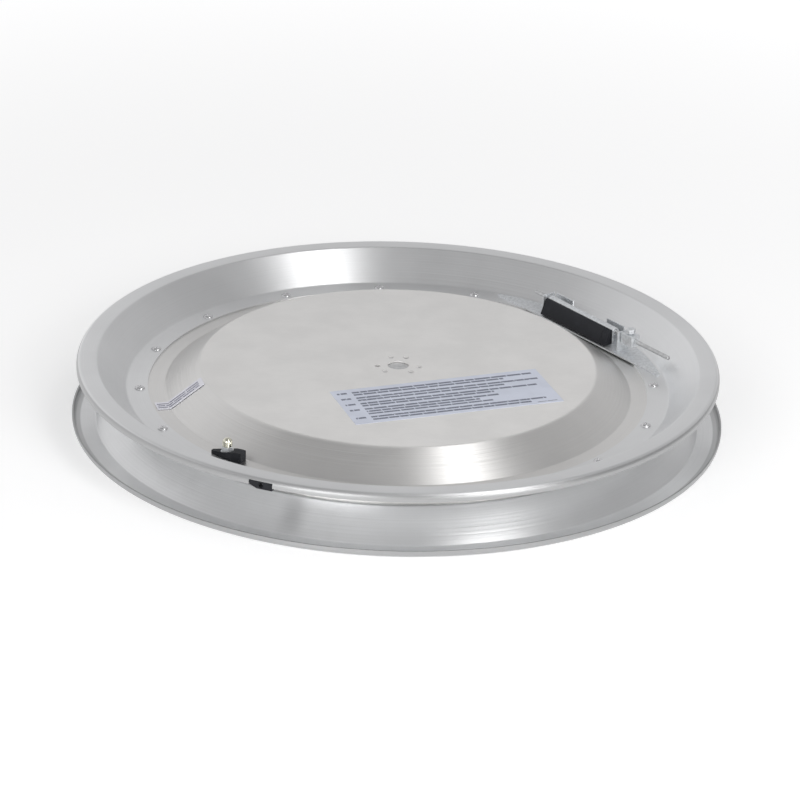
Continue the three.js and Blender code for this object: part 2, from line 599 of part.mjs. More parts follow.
for (const left of [leftEar, rightEar]) {
  bracket = bracket.add(box(
    left, left + BRACKET_SHEET, ROD_DISTANCE - EAR_BEFORE_ROD, ROD_DISTANCE + EAR_BEHIND_ROD,
    RING_TOP, BRACKET_TOP + EAR_HEIGHT,
  ));
}

/** Round bar along X about the rod's axis. */
function aboutRod(radius, left, right, segments = 12) {
  const outline = regularPolygon(segments, 2 * radius * Math.cos(Math.PI / segments));
  return prismAlongX(
    outline.map(([y, z]) => [ROD_DISTANCE + y, ROD_HEIGHT + z]), left, right,
  );
}

const rodPassage = aboutRod(ROD_RADIUS + CLEARANCE, ROD_LEFT, rodRight);
bracket = bracket.subtract(rodPassage);
for (const place of bracketRivets) {
  const hole = bar(RIVET_SHANK_RADIUS + CLEARANCE, 0, DRUM_HEIGHT, 12);
  bracket = bracket.subtract(hole.translate([...place, 0]));
}
piece('clamp_bracket', bracket, 'zinc_plate', bracketGroup);
piece('jaw_rod', aboutRod(ROD_RADIUS, ROD_LEFT, rodRight), 'machined_steel', bracketGroup);

// ---- Swinging jaw: a leaf rolled round the rod, faced with a rubber pad -----------------------
const knuckleRadius = ROD_RADIUS + CLEARANCE + JAW_SHEET;
const leafFront = ROD_DISTANCE - knuckleRadius;
const jawBottom = BRACKET_TOP + JAW_ABOVE_PLATE;
const leaf = box(JAW_LEFT, JAW_RIGHT, leafFront, leafFront + JAW_SHEET, jawBottom, ROD_HEIGHT);
const knuckle = aboutRod(knuckleRadius, JAW_LEFT, JAW_RIGHT);
const jaw = leaf.add(knuckle).subtract(rodPassage);
piece('jaw_leaf', jaw, 'zinc_plate', bracketGroup);

const padBack = leafFront - CLEARANCE;
const padTop = jawBottom + PAD_HEIGHT;
const padOutline = [
  [padBack - PAD_DEPTH, jawBottom],
  [padBack, jawBottom],
  [padBack, padTop],
  [padBack - PAD_TOP_DEPTH, padTop],
];
piece('jaw_pad', prismAlongX(padOutline, JAW_LEFT, JAW_RIGHT), 'black_rubber', bracketGroup);

// ---- Collar that keeps the rod from sliding ---------------------------------------------------
const collarHalf = COLLAR_SIZE / 2;
const collarTop = ROD_HEIGHT + collarHalf;
const collarLeft = rightEar + BRACKET_SHEET + COLLAR_GAP;
const collar = box(
  collarLeft, collarLeft + COLLAR_LENGTH,
  ROD_DISTANCE - collarHalf, ROD_DISTANCE + collarHalf, ROD_HEIGHT - collarHalf, collarTop,
);
const screwAt = [collarLeft + COLLAR_LENGTH / 2, ROD_DISTANCE, 0];
const screwBore = bar(COLLAR_SCREW_RADIUS + CLEARANCE, ROD_HEIGHT, DRUM_HEIGHT, 12);
piece('rod_collar', collar.subtract(rodPassage).subtract(screwBore.translate(screwAt)),
  'zinc_plate', bracketGroup);

const screwFoot = ROD_HEIGHT + ROD_RADIUS + CLEARANCE;
const headSeat = collarTop + COLLAR_SCREW_STANDOUT;
const screw = bar(COLLAR_SCREW_RADIUS, screwFoot, headSeat, 12).add(
  prism(regularPolygon(6, COLLAR_SCREW_HEAD_ACROSS), headSeat, headSeat + COLLAR_SCREW_HEAD_HEIGHT),
);
piece('rod_collar_screw', screw.translate(screwAt), 'zinc_plate', bracketGroup);

// ---- Labels -----------------------------------------------------------------------------------
const caution = piece('caution_label', box(
  -CAUTION_LABEL.width / 2, CAUTION_LABEL.width / 2,
  -CAUTION_LABEL.height / 2, CAUTION_LABEL.height / 2,
  COVER_TOP, COVER_TOP + LABEL_THICKNESS,
), 'label_film');
caution.position.set(CAUTION_LABEL.x, CAUTION_LABEL.y, 0);
caution.rotation.z = degrees(CAUTION_LABEL.turn);

// The rating label starts on the cover's flange and folds up its cone.
const coverRise = COVER_TOP - COVER_FLANGE_TOP;
const climb = (radius) => COVER_FLANGE_TOP + ((COVER_FOOT_RADIUS - radius) * coverRise) / COVER_CONE_WIDTH;
const labelTop = COVER_FOOT_RADIUS - RATING_LABEL.upCone;
const labelSeat = offsetPath([
  [COVER_FOOT_RADIUS + RATING_LABEL.onFlange, COVER_FLANGE_TOP],
  [COVER_FOOT_RADIUS, COVER_FLANGE_TOP],
  [labelTop, climb(labelTop)],
], CLEARANCE);
const labelOutline = [...labelSeat.slice().reverse(), ...offsetPath(labelSeat, LABEL_THICKNESS)];
const rating = piece('rating_label',
  prismAlongX(labelOutline, -RATING_LABEL.width / 2, RATING_LABEL.width / 2), 'label_paper');
rating.rotation.z = degrees(RATING_LABEL.angle - 90);

export default root;
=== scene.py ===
# %% [markdown]
# # A spring-return reel drum in spun aluminium
#
# Two dished flanges sit back to back and leave a V groove between them for the rope. Two raised
# covers close a flat power spring in between. The exact solids come in first as a fixed frame.
# Everything made below is placed from them, so nothing has to be fitted by eye.

# %% Load the fixed frame
import math

import bmesh
import bpy
from mathutils import Matrix, Vector


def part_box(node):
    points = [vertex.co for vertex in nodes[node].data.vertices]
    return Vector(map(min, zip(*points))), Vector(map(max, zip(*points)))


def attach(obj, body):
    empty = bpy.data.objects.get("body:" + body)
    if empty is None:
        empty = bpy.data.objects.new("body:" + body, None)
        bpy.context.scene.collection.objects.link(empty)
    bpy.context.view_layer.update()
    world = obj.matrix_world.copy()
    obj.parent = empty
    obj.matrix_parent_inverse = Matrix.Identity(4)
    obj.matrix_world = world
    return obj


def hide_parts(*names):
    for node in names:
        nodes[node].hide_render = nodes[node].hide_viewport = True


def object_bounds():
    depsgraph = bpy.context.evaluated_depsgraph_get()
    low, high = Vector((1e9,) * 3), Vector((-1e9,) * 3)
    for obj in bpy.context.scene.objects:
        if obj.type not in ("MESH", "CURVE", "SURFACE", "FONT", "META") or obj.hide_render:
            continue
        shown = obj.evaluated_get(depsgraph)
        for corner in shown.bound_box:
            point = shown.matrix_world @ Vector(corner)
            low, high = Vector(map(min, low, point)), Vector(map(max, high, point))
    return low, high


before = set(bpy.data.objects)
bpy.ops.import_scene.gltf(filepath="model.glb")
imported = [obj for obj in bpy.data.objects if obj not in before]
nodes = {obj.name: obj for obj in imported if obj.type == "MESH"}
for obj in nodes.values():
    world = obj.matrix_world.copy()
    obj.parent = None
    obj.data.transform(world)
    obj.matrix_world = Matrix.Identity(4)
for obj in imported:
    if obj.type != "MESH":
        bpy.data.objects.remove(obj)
cad_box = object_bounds()
MM = 0.001

# %% [markdown]
# ## Sizes
#
# The spun sheets are turned shapes, so a few radii and heights describe them whole. They are the
# same numbers the solids were built with.

# %% Sizes of the spun sheets, in millimetres
DRUM_HEIGHT = 60.0
SHEET = 1.5
RING_TOP = 33.0
COVER_FLANGE_TOP = 31.5
COVER_TOP = 55.0
RING_INNER, ROOT, CONE_TOP = 233.5, 253.5, 281.0
UPPER_RIM, LOWER_RIM = 300.0, 304.0
COVER_EDGE, COVER_FOOT, COVER_SHOULDER, HUB_HOLE = 250.5, 218.0, 185.0, 10.0
RIVET_CIRCLE, RIVET_COUNT, RIVET_FIRST = 241.0, 16, 5.0
BRACKET_ANGLE, BRACKET_SHEET = 38.43, 1.5

# %% [markdown]
# ## A small language for nodes
#
# Shader and geometry trees are both node graphs. `add` puts in any node: its settings go first,
# then the values or links of its sockets. A `Wire` is one output. Writing `1 - mask` or
# `depth * lines` with wires adds the Math nodes, so a pattern reads like its formula.

# %% Wires and nodes
class Wire:
    """One output socket; arithmetic on it adds Math nodes."""

    def __init__(self, socket):
        self.socket = socket

    def other(self, name):
        return Wire(self.socket.node.outputs[name])

    def math(self, operation, first, second=None):
        sockets = {0: first} if second is None else {0: first, 1: second}
        return add(self.socket.id_data, "ShaderNodeMath", {"operation": operation}, sockets)

    def __add__(self, value):
        return self.math("ADD", self, value)

    def __radd__(self, value):
        return self.math("ADD", value, self)

    def __sub__(self, value):
        return self.math("SUBTRACT", self, value)

    def __rsub__(self, value):
        return self.math("SUBTRACT", value, self)

    def __mul__(self, value):
        return self.math("MULTIPLY", self, value)

    def __rmul__(self, value):
        return self.math("MULTIPLY", value, self)

    def __truediv__(self, value):
        return self.math("DIVIDE", self, value)

    def below(self, value):
        return self.math("LESS_THAN", self, value)

    def above(self, value):
        return self.math("GREATER_THAN", self, value)

    def size(self):
        return self.math("ABSOLUTE", self)


def add(tree, kind, settings=None, sockets=None, output=0):
    """Adds a node to the tree, sets it up and returns a wire from one of its outputs."""
    node = tree.nodes.new(kind)
    for key, value in (settings or {}).items():
        if key == "stops":
            ramp = node.color_ramp
            while len(ramp.elements) < len(value):
                ramp.elements.new(1.0)
            for element, (position, shade) in zip(ramp.elements, value):
                element.position = position
                element.color = (shade, shade, shade, 1.0)
        elif key == "ramp":
            node.color_ramp.interpolation = value
        else:
            setattr(node, key, value)
    for key, value in (sockets or {}).items():
        socket = node.inputs[key]
        several = isinstance(value, list) and isinstance(value[0], Wire)
        for item in value if several else [value]:
            if isinstance(item, Wire):
                tree.links.new(item.socket, socket)
            else:
                socket.default_value = item
    return Wire(node.outputs[output]) if node.outputs else None


print("node helpers ready")

# %% [markdown]
# ## Reading a place on a turned piece
#
# Spinning leaves rings. A ring pattern depends only on the distance from the axis and the height,
# so the finishes read the piece's own Object coordinates and turn them into radius, height and
# angle, all in millimetres.

# %% Coordinates for the finishes
def finish(name):
    """A new material with its tree cleared, as (material, tree, Principled node)."""
    material = bpy.data.materials.new(name)
    material.use_nodes = True
    tree = material.node_tree
    tree.nodes.clear()
    shader = add(tree, "ShaderNodeBsdfPrincipled")
    add(tree, "ShaderNodeOutputMaterial", None, {"Surface": shader})
    return material, tree, shader.socket.node


def place(tree):
    """Object position in millimetres as a wire of vectors."""
    where = add(tree, "ShaderNodeTexCoord", output="Object")
    return add(tree, "ShaderNodeVectorMath", {"operation": "SCALE"}, {0: where, "Scale": 1000.0})


def split(tree, vector):
    x = add(tree, "ShaderNodeSeparateXYZ", sockets={0: vector})
    return x, x.other("Y"), x.other("Z")


def polar(tree, vector):
    """Radius, height and angle (in radians) of a place in millimetres."""
    x, y, z = split(tree, vector)
    radius = x.math("SQRT", x * x + y * y)
    return radius, z, x.math("ARCTAN2", y, x)


def join(tree, x, y, z=0.0):
    return add(tree, "ShaderNodeCombineXYZ", sockets={0: x, 1: y, 2: z})


def noise(tree, vector, scale, detail=2.0, roughness=0.5):
    return add(tree, "ShaderNodeTexNoise", {"noise_dimensions": "3D"},
               {"Vector": vector, "Scale": scale, "Detail": detail, "Roughness": roughness})


def band(tree, value, low, high, start=0.0, end=1.0):
    """Smooth step of a value from start to end between low and high."""
    return add(tree, "ShaderNodeMapRange", {"interpolation_type": "SMOOTHSTEP"},
               {0: value, 1: low, 2: high, 3: start, 4: end})


def blend_colour(tree, factor, first, second):
    sockets = {0: factor, 6: first, 7: second}
    return add(tree, "ShaderNodeMix", {"data_type": "RGBA"}, sockets, output=2)


def bump(tree, shader, height_mm, strength=1.0):
    """Feeds a height in millimetres to the shader's normal."""
    made = add(tree, "ShaderNodeBump", None,
               {"Strength": strength, "Distance": MM, "Height": height_mm})
    tree.links.new(made.socket, shader.inputs["Normal"])


def feed(tree, shader, **wires):
    for key, wire in wires.items():
        tree.links.new(wire.socket, shader.inputs[key.replace("_", " ")])


print("coordinate helpers ready")

# %% [markdown]
# ## Spun aluminium
#
# A flange is pressed over a former while it turns. The tool leaves fine rings everywhere and a few
# broad ridges on the cones. Light then spreads across the rings and stays sharper along them,
# which makes the long wedge-shaped glints. The shader's Anisotropic setting does that, turned a
# quarter so that it spreads across the rings. Rings and ridges are bumps, and handling marks
# change only the roughness. The curled edge below the lip gets painted shade: a mask made from
# the radius and the height darkens its colour, standing in for the dimmer light it reflects, and
# makes it a little rougher.

# %% Spun aluminium for the flanges
FLANGE_TONE = (0.88, 0.885, 0.89)
# Share of the tone kept on the curled edge: painted shade for the dimmer light it reflects.
CURL_PAINTED_SHADE = 0.55
EDGE_STARTS, EDGE_FULL = 295.5, 297.0
LIP_STARTS, LIP_FULL = 28.0, 29.2


def shaded(tone, share=1.0):
    """A colour with its alpha, scaled towards black."""
    return (*[channel * share for channel in tone], 1.0)


def rings_on(tree, here, ridge_mm, ridge_pitch):
    """Height of the spinning marks in millimetres, and the fine threads alone."""
    radius, height, angle = polar(tree, here)
    rings = noise(tree, join(tree, radius * 0.9, height * 0.9, angle * 0.35), 1.0, 3.0, 0.6)
    threads = noise(tree, join(tree, radius * 3.0, height * 3.0, angle * 0.5), 1.0, 1.0)
    ridges = noise(tree, join(tree, height / ridge_pitch, angle * 0.25, radius * 0.004), 1.0, 1.0)
    relief = (ridges - 0.5) * ridge_mm + (rings - 0.5) * 0.02 + (threads - 0.5) * 0.005
    return relief, threads


def aluminium_tone(tree, tone, marks, threads):
    """Colour that drifts slowly over the sheet and finely from ring to ring."""
    drift = blend_colour(tree, band(tree, marks, 0.3, 0.7), shaded(tone, 0.93), shaded(tone))
    return blend_colour(tree, (threads - 0.5) * 0.5 + 0.25, drift, shaded(tone, 0.82))


def spun_shader(tree, shader, here, tone, rough, stretch, ridge_mm, ridge_pitch):
    shader.inputs["Metallic"].default_value = 1.0
    shader.inputs["Anisotropic"].default_value = stretch
    shader.inputs["Anisotropic Rotation"].default_value = 0.25
    relief, threads = rings_on(tree, here, ridge_mm, ridge_pitch)
    radius, height, angle = polar(tree, here)
    marks = noise(tree, here, 0.012, 3.0, 0.55)
    scuffs = noise(tree, join(tree, radius * 0.05, angle * 14.0, height * 0.05), 1.0, 4.0, 0.7)
    scuffed = band(tree, scuffs, 0.62, 0.8)
    gloss = rough + (threads - 0.5) * 0.08 + (marks - 0.5) * 0.08 + scuffed * 0.1
    lip = band(tree, (height - DRUM_HEIGHT / 2).size(), LIP_STARTS, LIP_FULL)
    curled = band(tree, radius, EDGE_STARTS, EDGE_FULL) * (1.0 - lip)
    worked = aluminium_tone(tree, tone, marks, threads)
    # Painted shade: the curl mask darkens the curled edge's colour.
    colour = blend_colour(tree, curled, worked, shaded(tone, CURL_PAINTED_SHADE))
    feed(tree, shader, Base_Color=colour, Roughness=gloss + curled * 0.08)
    bump(tree, shader, relief)


spun_aluminium, spun_tree, spun = finish("spun_aluminium")
spun_shader(spun_tree, spun, place(spun_tree), FLANGE_TONE, 0.34, 0.62, 0.13, 1.5)
print("flange finish:", len(spun_tree.nodes), "nodes")

# %% [markdown]
# ## A cover of two finishes
#
# A cover is rolled sheet with only its cone worked on the lathe. The flat plate keeps the dull,
# even face of the rolled sheet, and the cone is spun bright. Two shaders are mixed by the distance
# from the axis. The plate's shader is only half metallic and isn't stretched. It has a very fine
# rolled grain, and the faint hairline scratches and thumbed patches that a handled sheet shows.

# %% Cover aluminium
COVER_TONE, PLATE_TONE = (0.86, 0.85, 0.835), (0.89, 0.88, 0.865)
cover_aluminium, cover_tree, cone = finish("cover_aluminium")
cover_here = place(cover_tree)
spun_shader(cover_tree, cone, cover_here, COVER_TONE, 0.36, 0.58, 0.34, 1.6)
plate = add(cover_tree, "ShaderNodeBsdfPrincipled", None, {"Metallic": 0.5}).socket.node
x, y, _ = split(cover_tree, cover_here)
rolled = noise(cover_tree, join(cover_tree, x * 0.05, y * 2.2), 1.0, 3.0, 0.65)
thumbed = noise(cover_tree, cover_here, 0.02, 4.0, 0.6)
hair = join(cover_tree, x * 0.02 + y * 0.9, y * 0.03 - x * 0.01)
hairlines = noise(cover_tree, hair, 1.0, 2.0, 0.8)
scratched = band(cover_tree, hairlines, 0.68, 0.78)
plate_tone = aluminium_tone(cover_tree, PLATE_TONE, thumbed, rolled)
feed(cover_tree, plate, Base_Color=plate_tone,
     Roughness=0.62 + (thumbed - 0.5) * 0.1 + (rolled - 0.5) * 0.06 - scratched * 0.08)
bump(cover_tree, plate, (rolled - 0.5) * 0.01 - scratched * 0.004)
cover_radius, _, _ = polar(cover_tree, cover_here)
on_cone = band(cover_tree, cover_radius, COVER_SHOULDER - 2.5, COVER_SHOULDER + 2.5)
halves = add(cover_tree, "ShaderNodeMixShader", None, {
    0: on_cone, 1: Wire(plate.outputs[0]), 2: Wire(cone.outputs[0])})
cover_out = [n for n in cover_tree.nodes if n.type == "OUTPUT_MATERIAL"][0]
cover_tree.links.new(halves.socket, cover_out.inputs["Surface"])
print("cover finish:", len(cover_tree.nodes), "nodes")

# %% [markdown]
# ## Plated, turned and rolled metal
#
# The small hardware is steel: zinc-plated sheet with its faint spangle, yellow-passivated
# fasteners, turned steel with tool rings, blued spring strip and a bronze bush. One recipe with a
# grain, a mottle and dull spots in the roughness covers them, each with its own numbers.

# %% Hardware finishes
def plated_metal(name, tone, rough, mottle, grain, grain_mm, metal=1.0):
    material, tree, shader = finish(name)
    shader.inputs["Metallic"].default_value = metal
    here = place(tree)
    spangle = noise(tree, here, mottle, 3.0, 0.6)
    fine = noise(tree, here, grain, 2.0, 0.6)
    spots = noise(tree, here, mottle * 0.25, 4.0, 0.7)
    dull = band(tree, spots, 0.5, 0.75)
    colour = blend_colour(tree, band(tree, spangle, 0.3, 0.72), shaded(tone, 0.8), shaded(tone))
    feed(tree, shader, Base_Color=colour,
         Roughness=rough + (spangle - 0.5) * 0.16 + dull * 0.1 + (fine - 0.5) * 0.06)
    bump(tree, shader, (fine - 0.5) * grain_mm + (spangle - 0.5) * grain_mm * 2.0)
    return material


zinc_plate = plated_metal("zinc_plate", (0.86, 0.88, 0.90), 0.5, 0.35, 2.6, 0.02, metal=0.85)
yellow_zinc = plated_metal("yellow_zinc", (0.92, 0.90, 0.76), 0.2, 0.4, 2.4, 0.01)
rivet_aluminium = plated_metal("rivet_aluminium", (0.86, 0.86, 0.87), 0.24, 0.8, 3.0, 0.01)
spring_steel = plated_metal("spring_steel", (0.34, 0.37, 0.42), 0.36, 0.12, 1.6, 0.015)
machined_steel = plated_metal("machined_steel", (0.74, 0.745, 0.75), 0.5, 0.3, 3.2, 0.015)
bearing_bronze = plated_metal("bearing_bronze", (0.66, 0.48, 0.25), 0.36, 0.3, 2.8, 0.02)
print("hardware finishes ready")

# %% [markdown]
# ## Moulded black rubber
#
# The clamp pad, the wedge and the grommet are moulded rubber. It is not quite black, it keeps a
# fine moulded grain, and dust greys it a little, so its colour and roughness both drift.

# %% Black rubber
def moulded_rubber():
    material, tree, shader = finish("black_rubber")
    shader.inputs["Specular IOR Level"].default_value = 0.3
    here = place(tree)
    grain = noise(tree, here, 1.9, 3.0, 0.65)
    dust = band(tree, noise(tree, here, 0.09, 4.0, 0.6), 0.42, 0.72)
    colour = blend_colour(tree, dust * 0.5, (0.014, 0.015, 0.019, 1.0), (0.034, 0.036, 0.042, 1.0))
    feed(tree, shader, Base_Color=colour, Roughness=0.6 + dust * 0.12 + (grain - 0.5) * 0.12)
    bump(tree, shader, (grain - 0.5) * 0.12)
    return material


black_rubber = moulded_rubber()
print("rubber ready")

# %% [markdown]
# ## Printed labels
#
# Both labels carry rows of small print in several short paragraphs. Rows of plain bars stand for
# the print. A stepped ramp down the label says where each row lies, a second one says where it
# ends, and a one-dimensional Voronoi pattern breaks it into bars of uneven length.

# %% Bars for print
CAUTION_PLACE = (45.5, -70.0, 19.5)
CAUTION_SIZE = (202.0, 77.0)
CAUTION_ROWS = [
    (8.0, 0.96), (13.3, 0.80), (20.8, 0.97), (26.1, 0.78), (33.6, 0.94), (38.9, 0.70),
    (46.4, 0.71), (51.7, 0.60), (57.0, 0.66), (64.5, 0.93), (69.8, 0.84),
]
PARAGRAPHS = (8.0, 20.8, 33.6, 46.4, 64.5)
CODE_FROM, CODE_TO = 4.5, 14.0
TAIL_ROW, TAIL_LENGTH, TAIL_MARGIN = 72.6, 24.0, 5.0


def steps(pairs, length):
    """Stops of a ramp with constant steps, from (start, value) pairs in millimetres."""
    return [(start / length, value) for start, value in pairs]


def printed_bars(tree, along, down, rows, width, length, tall):
    """A mask that is 1 on the bars of every row."""
    share = down / length
    on = [(0.0, 0.0)]
    ends = [(0.0, rows[0][1])]
    for middle, end in rows:
        on += [(middle - tall / 2, 1.0), (middle + tall / 2, 0.0)]
        ends.append((middle - tall, end))
    row, end = [
        add(tree, "ShaderNodeValToRGB", {"ramp": "CONSTANT", "stops": steps(pairs, length)},
            {0: share}) for pairs in (on, ends)]
    line = (down / 5.0).math("FLOOR", down / 5.3)
    shift = along + line * 37.0
    word = add(tree, "ShaderNodeTexVoronoi",
               {"voronoi_dimensions": "1D", "feature": "DISTANCE_TO_EDGE"},
               {"W": shift, "Scale": 0.075})
    stroke = add(tree, "ShaderNodeTexVoronoi",
                 {"voronoi_dimensions": "1D", "feature": "DISTANCE_TO_EDGE"},
                 {"W": shift, "Scale": 0.5})
    inside = (along / width).below(end)
    solid = word.above(0.035) * (0.7 + stroke.above(0.1) * 0.3)
    return row * inside * solid


def label_finish(name, tone, ink, placing, size, rows, tall, margin, codes=()):
    material, tree, shader = finish(name)
    x, y, turn = placing
    here = add(tree, "ShaderNodeMapping", {"vector_type": "TEXTURE"}, {
        "Vector": place(tree), "Location": (x, y, 0.0),
        "Rotation": (0.0, 0.0, math.radians(turn)),
    })
    u, v, _ = split(tree, here)
    width, length = size
    along = u + width / 2
    down = length / 2 - v
    bars = printed_bars(tree, along - margin, down, rows, width - margin, length, tall)
    bars = bars * along.above(margin) * (width - 4.0 - along).above(0.0)
    if codes:
        code_rows = [(middle, 1.0) for middle in codes]
        short = printed_bars(tree, along, down, code_rows, width, length, tall)
        bars = bars + short * along.above(CODE_FROM) * along.below(CODE_TO)
        tail = printed_bars(tree, along, down, [(TAIL_ROW, 1.0)], width, length, 1.4)
        bars = bars + tail * along.above(width - TAIL_LENGTH) * along.below(width - TAIL_MARGIN)
    soil = noise(tree, here, 0.05, 4.0, 0.6)
    fleck = noise(tree, here, 1.4, 2.0, 0.6)
    paper = blend_colour(tree, band(tree, soil, 0.35, 0.7), shaded(tone), shaded(tone, 0.93))
    colour = blend_colour(tree, bars * 0.85, paper, shaded(ink))
    feed(tree, shader, Base_Color=colour,
         Roughness=0.42 + (soil - 0.5) * 0.14 + bars * 0.08)
    bump(tree, shader, (fleck - 0.5) * 0.01 + bars * 0.01)
    return material


label_film = label_finish("label_film", (0.64, 0.675, 0.78), (0.07, 0.08, 0.12), CAUTION_PLACE,
                          CAUTION_SIZE, CAUTION_ROWS, 3.3, 19.0, PARAGRAPHS)
RATING_OUTER, RATING_INNER, RATING_ANGLE = 230.5, 186.5, -165.0
rating_middle = (RATING_OUTER + RATING_INNER) / 2
rating_angle = math.radians(RATING_ANGLE)
label_paper = label_finish(
    "label_paper", (0.84, 0.84, 0.90), (0.05, 0.05, 0.12),
    (rating_middle * math.cos(rating_angle), rating_middle * math.sin(rating_angle), 15.0),
    (RATING_OUTER - RATING_INNER, 16.0), [(4.2, 0.92), (8.0, 0.97), (11.8, 0.9)], 1.9, 1.5)
print("label finishes ready")

# %% [markdown]
# ## Turning one section into a sheet
#
# Every spun sheet is one closed section carried round a circle, so one Geometry Nodes tree makes
# them all. It turns the section into a curve and sweeps it round with Curve to Mesh. Its inputs
# are the sweep's radius, the number of segments and the finish. The section is drawn in
# millimetres with its bends rounded, and offset to give the sheet its thickness.

# %% Sections
def rounded(corners):
    """Rounds the inner corners of a path; corners are (r, z) or (r, z, bend radius, steps)."""
    path = []
    for i, corner in enumerate(corners):
        if len(corner) == 2:
            path.append(Vector(corner))
            continue
        at = Vector(corner[:2])
        before = (Vector(corners[i - 1][:2]) - at).normalized()
        after = (Vector(corners[i + 1][:2]) - at).normalized()
        half = before.angle(after) / 2
        centre = at + (before + after).normalized() * corner[2] / math.sin(half)
        start = at + before * corner[2] / math.tan(half) - centre
        end = at + after * corner[2] / math.tan(half) - centre
        sweep = math.atan2(start.x * end.y - start.y * end.x, start.dot(end))
        for k in range(corner[3] + 1):
            path.append(centre + Matrix.Rotation(sweep * k / corner[3], 2) @ start)
    return path


def beside(path, distance):
    """Copy of a path moved sideways, to the right of travel."""
    moved = []
    for i, point in enumerate(path):
        into = point - path[max(i - 1, 0)]
        out = path[min(i + 1, len(path) - 1)] - point
        into, out = into if into.length else out, out if out.length else into
        into, out = into.normalized(), out.normalized()
        along = (into + out).normalized()
        moved.append(point + Vector((along.y, -along.x)) * distance / along.dot(into))
    return moved


CURL_DEPTH = 7.0


def flange_section(rim):
    face = rounded([
        (RING_INNER, RING_TOP), (ROOT, RING_TOP, 3.5, 6), (CONE_TOP, DRUM_HEIGHT, 3.5, 6),
        (rim, DRUM_HEIGHT, 4.7, 10), (rim, DRUM_HEIGHT - CURL_DEPTH),
    ])
    return beside(face, SHEET) + face[::-1]


def cover_section():
    face = rounded([
        (COVER_EDGE, COVER_FLANGE_TOP), (COVER_FOOT, COVER_FLANGE_TOP, 3.0, 6),
        (COVER_SHOULDER, COVER_TOP, 5.0, 8), (HUB_HOLE, COVER_TOP),
    ])
    return face + beside(face, -SHEET)[::-1]


def turned_over(section):
    return [Vector((p.x, DRUM_HEIGHT - p.y)) for p in section][::-1]


print("flange section has", len(flange_section(UPPER_RIM)), "points")

# %% Starting and ending a geometry tree
def new_tree(name, inputs):
    """A geometry tree with a mesh in, a mesh out and the named inputs given as (name, kind)."""
    tree = bpy.data.node_groups.new(name, "GeometryNodeTree")
    face = tree.interface
    face.new_socket("Geometry", in_out="INPUT", socket_type="NodeSocketGeometry")
    for label, kind in inputs:
        face.new_socket(label, in_out="INPUT", socket_type="NodeSocket" + kind)
    face.new_socket("Geometry", in_out="OUTPUT", socket_type="NodeSocketGeometry")
    return tree, add(tree, "NodeGroupInput")


def close_tree(tree, geometry, material):
    """Ends a tree the way every tree here ends."""
    real = add(tree, "GeometryNodeRealizeInstances", None, {0: geometry})
    painted = add(tree, "GeometryNodeSetMaterial", None, {"Geometry": real, "Material": material})
    add(tree, "NodeGroupOutput", None, {"Geometry": painted})
    return tree


print("tree helpers ready")

# %% A tree that sweeps a section
def sweep_tree():
    tree, given = new_tree("sweep_section", [
        ("Sweep Radius", "Float"), ("Segments", "Int"), ("Finish", "Material")])
    section = add(tree, "GeometryNodeMeshToCurve", None, {"Mesh": given})
    circle = add(tree, "GeometryNodeCurvePrimitiveCircle", None,
                 {"Resolution": given.other("Segments"), "Radius": given.other("Sweep Radius")})
    swept = add(tree, "GeometryNodeCurveToMesh", None, {"Curve": circle, "Profile Curve": section})
    return close_tree(tree, swept, given.other("Finish"))


def baked(piece):
    """The mesh that a piece's modifiers leave, after which the modifiers are dropped."""
    bpy.context.view_layer.update()
    shown = piece.evaluated_get(bpy.context.evaluated_depsgraph_get())
    made = bpy.data.meshes.new_from_object(shown)
    piece.modifiers.clear()
    return made


def run_tree(name, mesh, tree, values):
    """Runs a tree on a mesh and returns an object that holds the plain result."""
    carrier = bpy.data.objects.new(name + "_carrier", mesh)
    bpy.context.scene.collection.objects.link(carrier)
    modifier = carrier.modifiers.new("nodes", "NODES")
    modifier.node_group = tree
    for item in tree.interface.items_tree:
        if item.item_type == "SOCKET" and item.in_out == "INPUT" and item.name in values:
            modifier[item.identifier] = values[item.name]
    made = baked(carrier)
    bpy.data.objects.remove(carrier)
    made.name = name
    return settle(bpy.data.objects.new(name, made))


def settle(piece, sharp=35.0):
    """Links a piece, points its faces outwards and shades it smooth up to the sharp angle."""
    if piece.name not in bpy.context.scene.collection.objects:
        bpy.context.scene.collection.objects.link(piece)
    body = bmesh.new()
    body.from_mesh(piece.data)
    bmesh.ops.remove_doubles(body, verts=body.verts, dist=1e-7)
    if body.calc_volume(signed=True) < 0:
        bmesh.ops.reverse_faces(body, faces=body.faces)
    body.to_mesh(piece.data)
    body.free()
    piece.data.shade_smooth()
    piece.data.set_sharp_from_angle(angle=math.radians(sharp))
    return piece


sweep_section = sweep_tree()


SWEEP_RADIUS, SEGMENTS = 200.0, 288


def spun_sheet(name, section, material):
    points = [((p.x - SWEEP_RADIUS) * MM, -p.y * MM, 0.0) for p in section]
    loop = bpy.data.meshes.new(name + "_section")
    loop.from_pydata(points, [(i, (i + 1) % len(points)) for i in range(len(points))], [])
    return run_tree(name, loop, sweep_section, {
        "Sweep Radius": SWEEP_RADIUS * MM, "Segments": SEGMENTS, "Finish": material})


def extent(piece):
    """Lowest and highest x, y and z of a piece, in millimetres."""
    corners = [v.co for v in piece.data.vertices]
    return [round(f(c[i] for c in corners) / MM, 2) for f in (min, max) for i in range(3)]


upper_sheet = spun_sheet("upper_flange_sheet", flange_section(UPPER_RIM), spun_aluminium)
lower_sheet = spun_sheet("lower_flange_sheet", turned_over(flange_section(LOWER_RIM)),
                         spun_aluminium)
upper_cover = spun_sheet("upper_cover_sheet", cover_section(), cover_aluminium)
lower_cover = spun_sheet("lower_cover_sheet", turned_over(cover_section()), cover_aluminium)
for sheet in (upper_sheet, lower_sheet, upper_cover, lower_cover):
    print(sheet.name, len(sheet.data.polygons), "faces", extent(sheet))

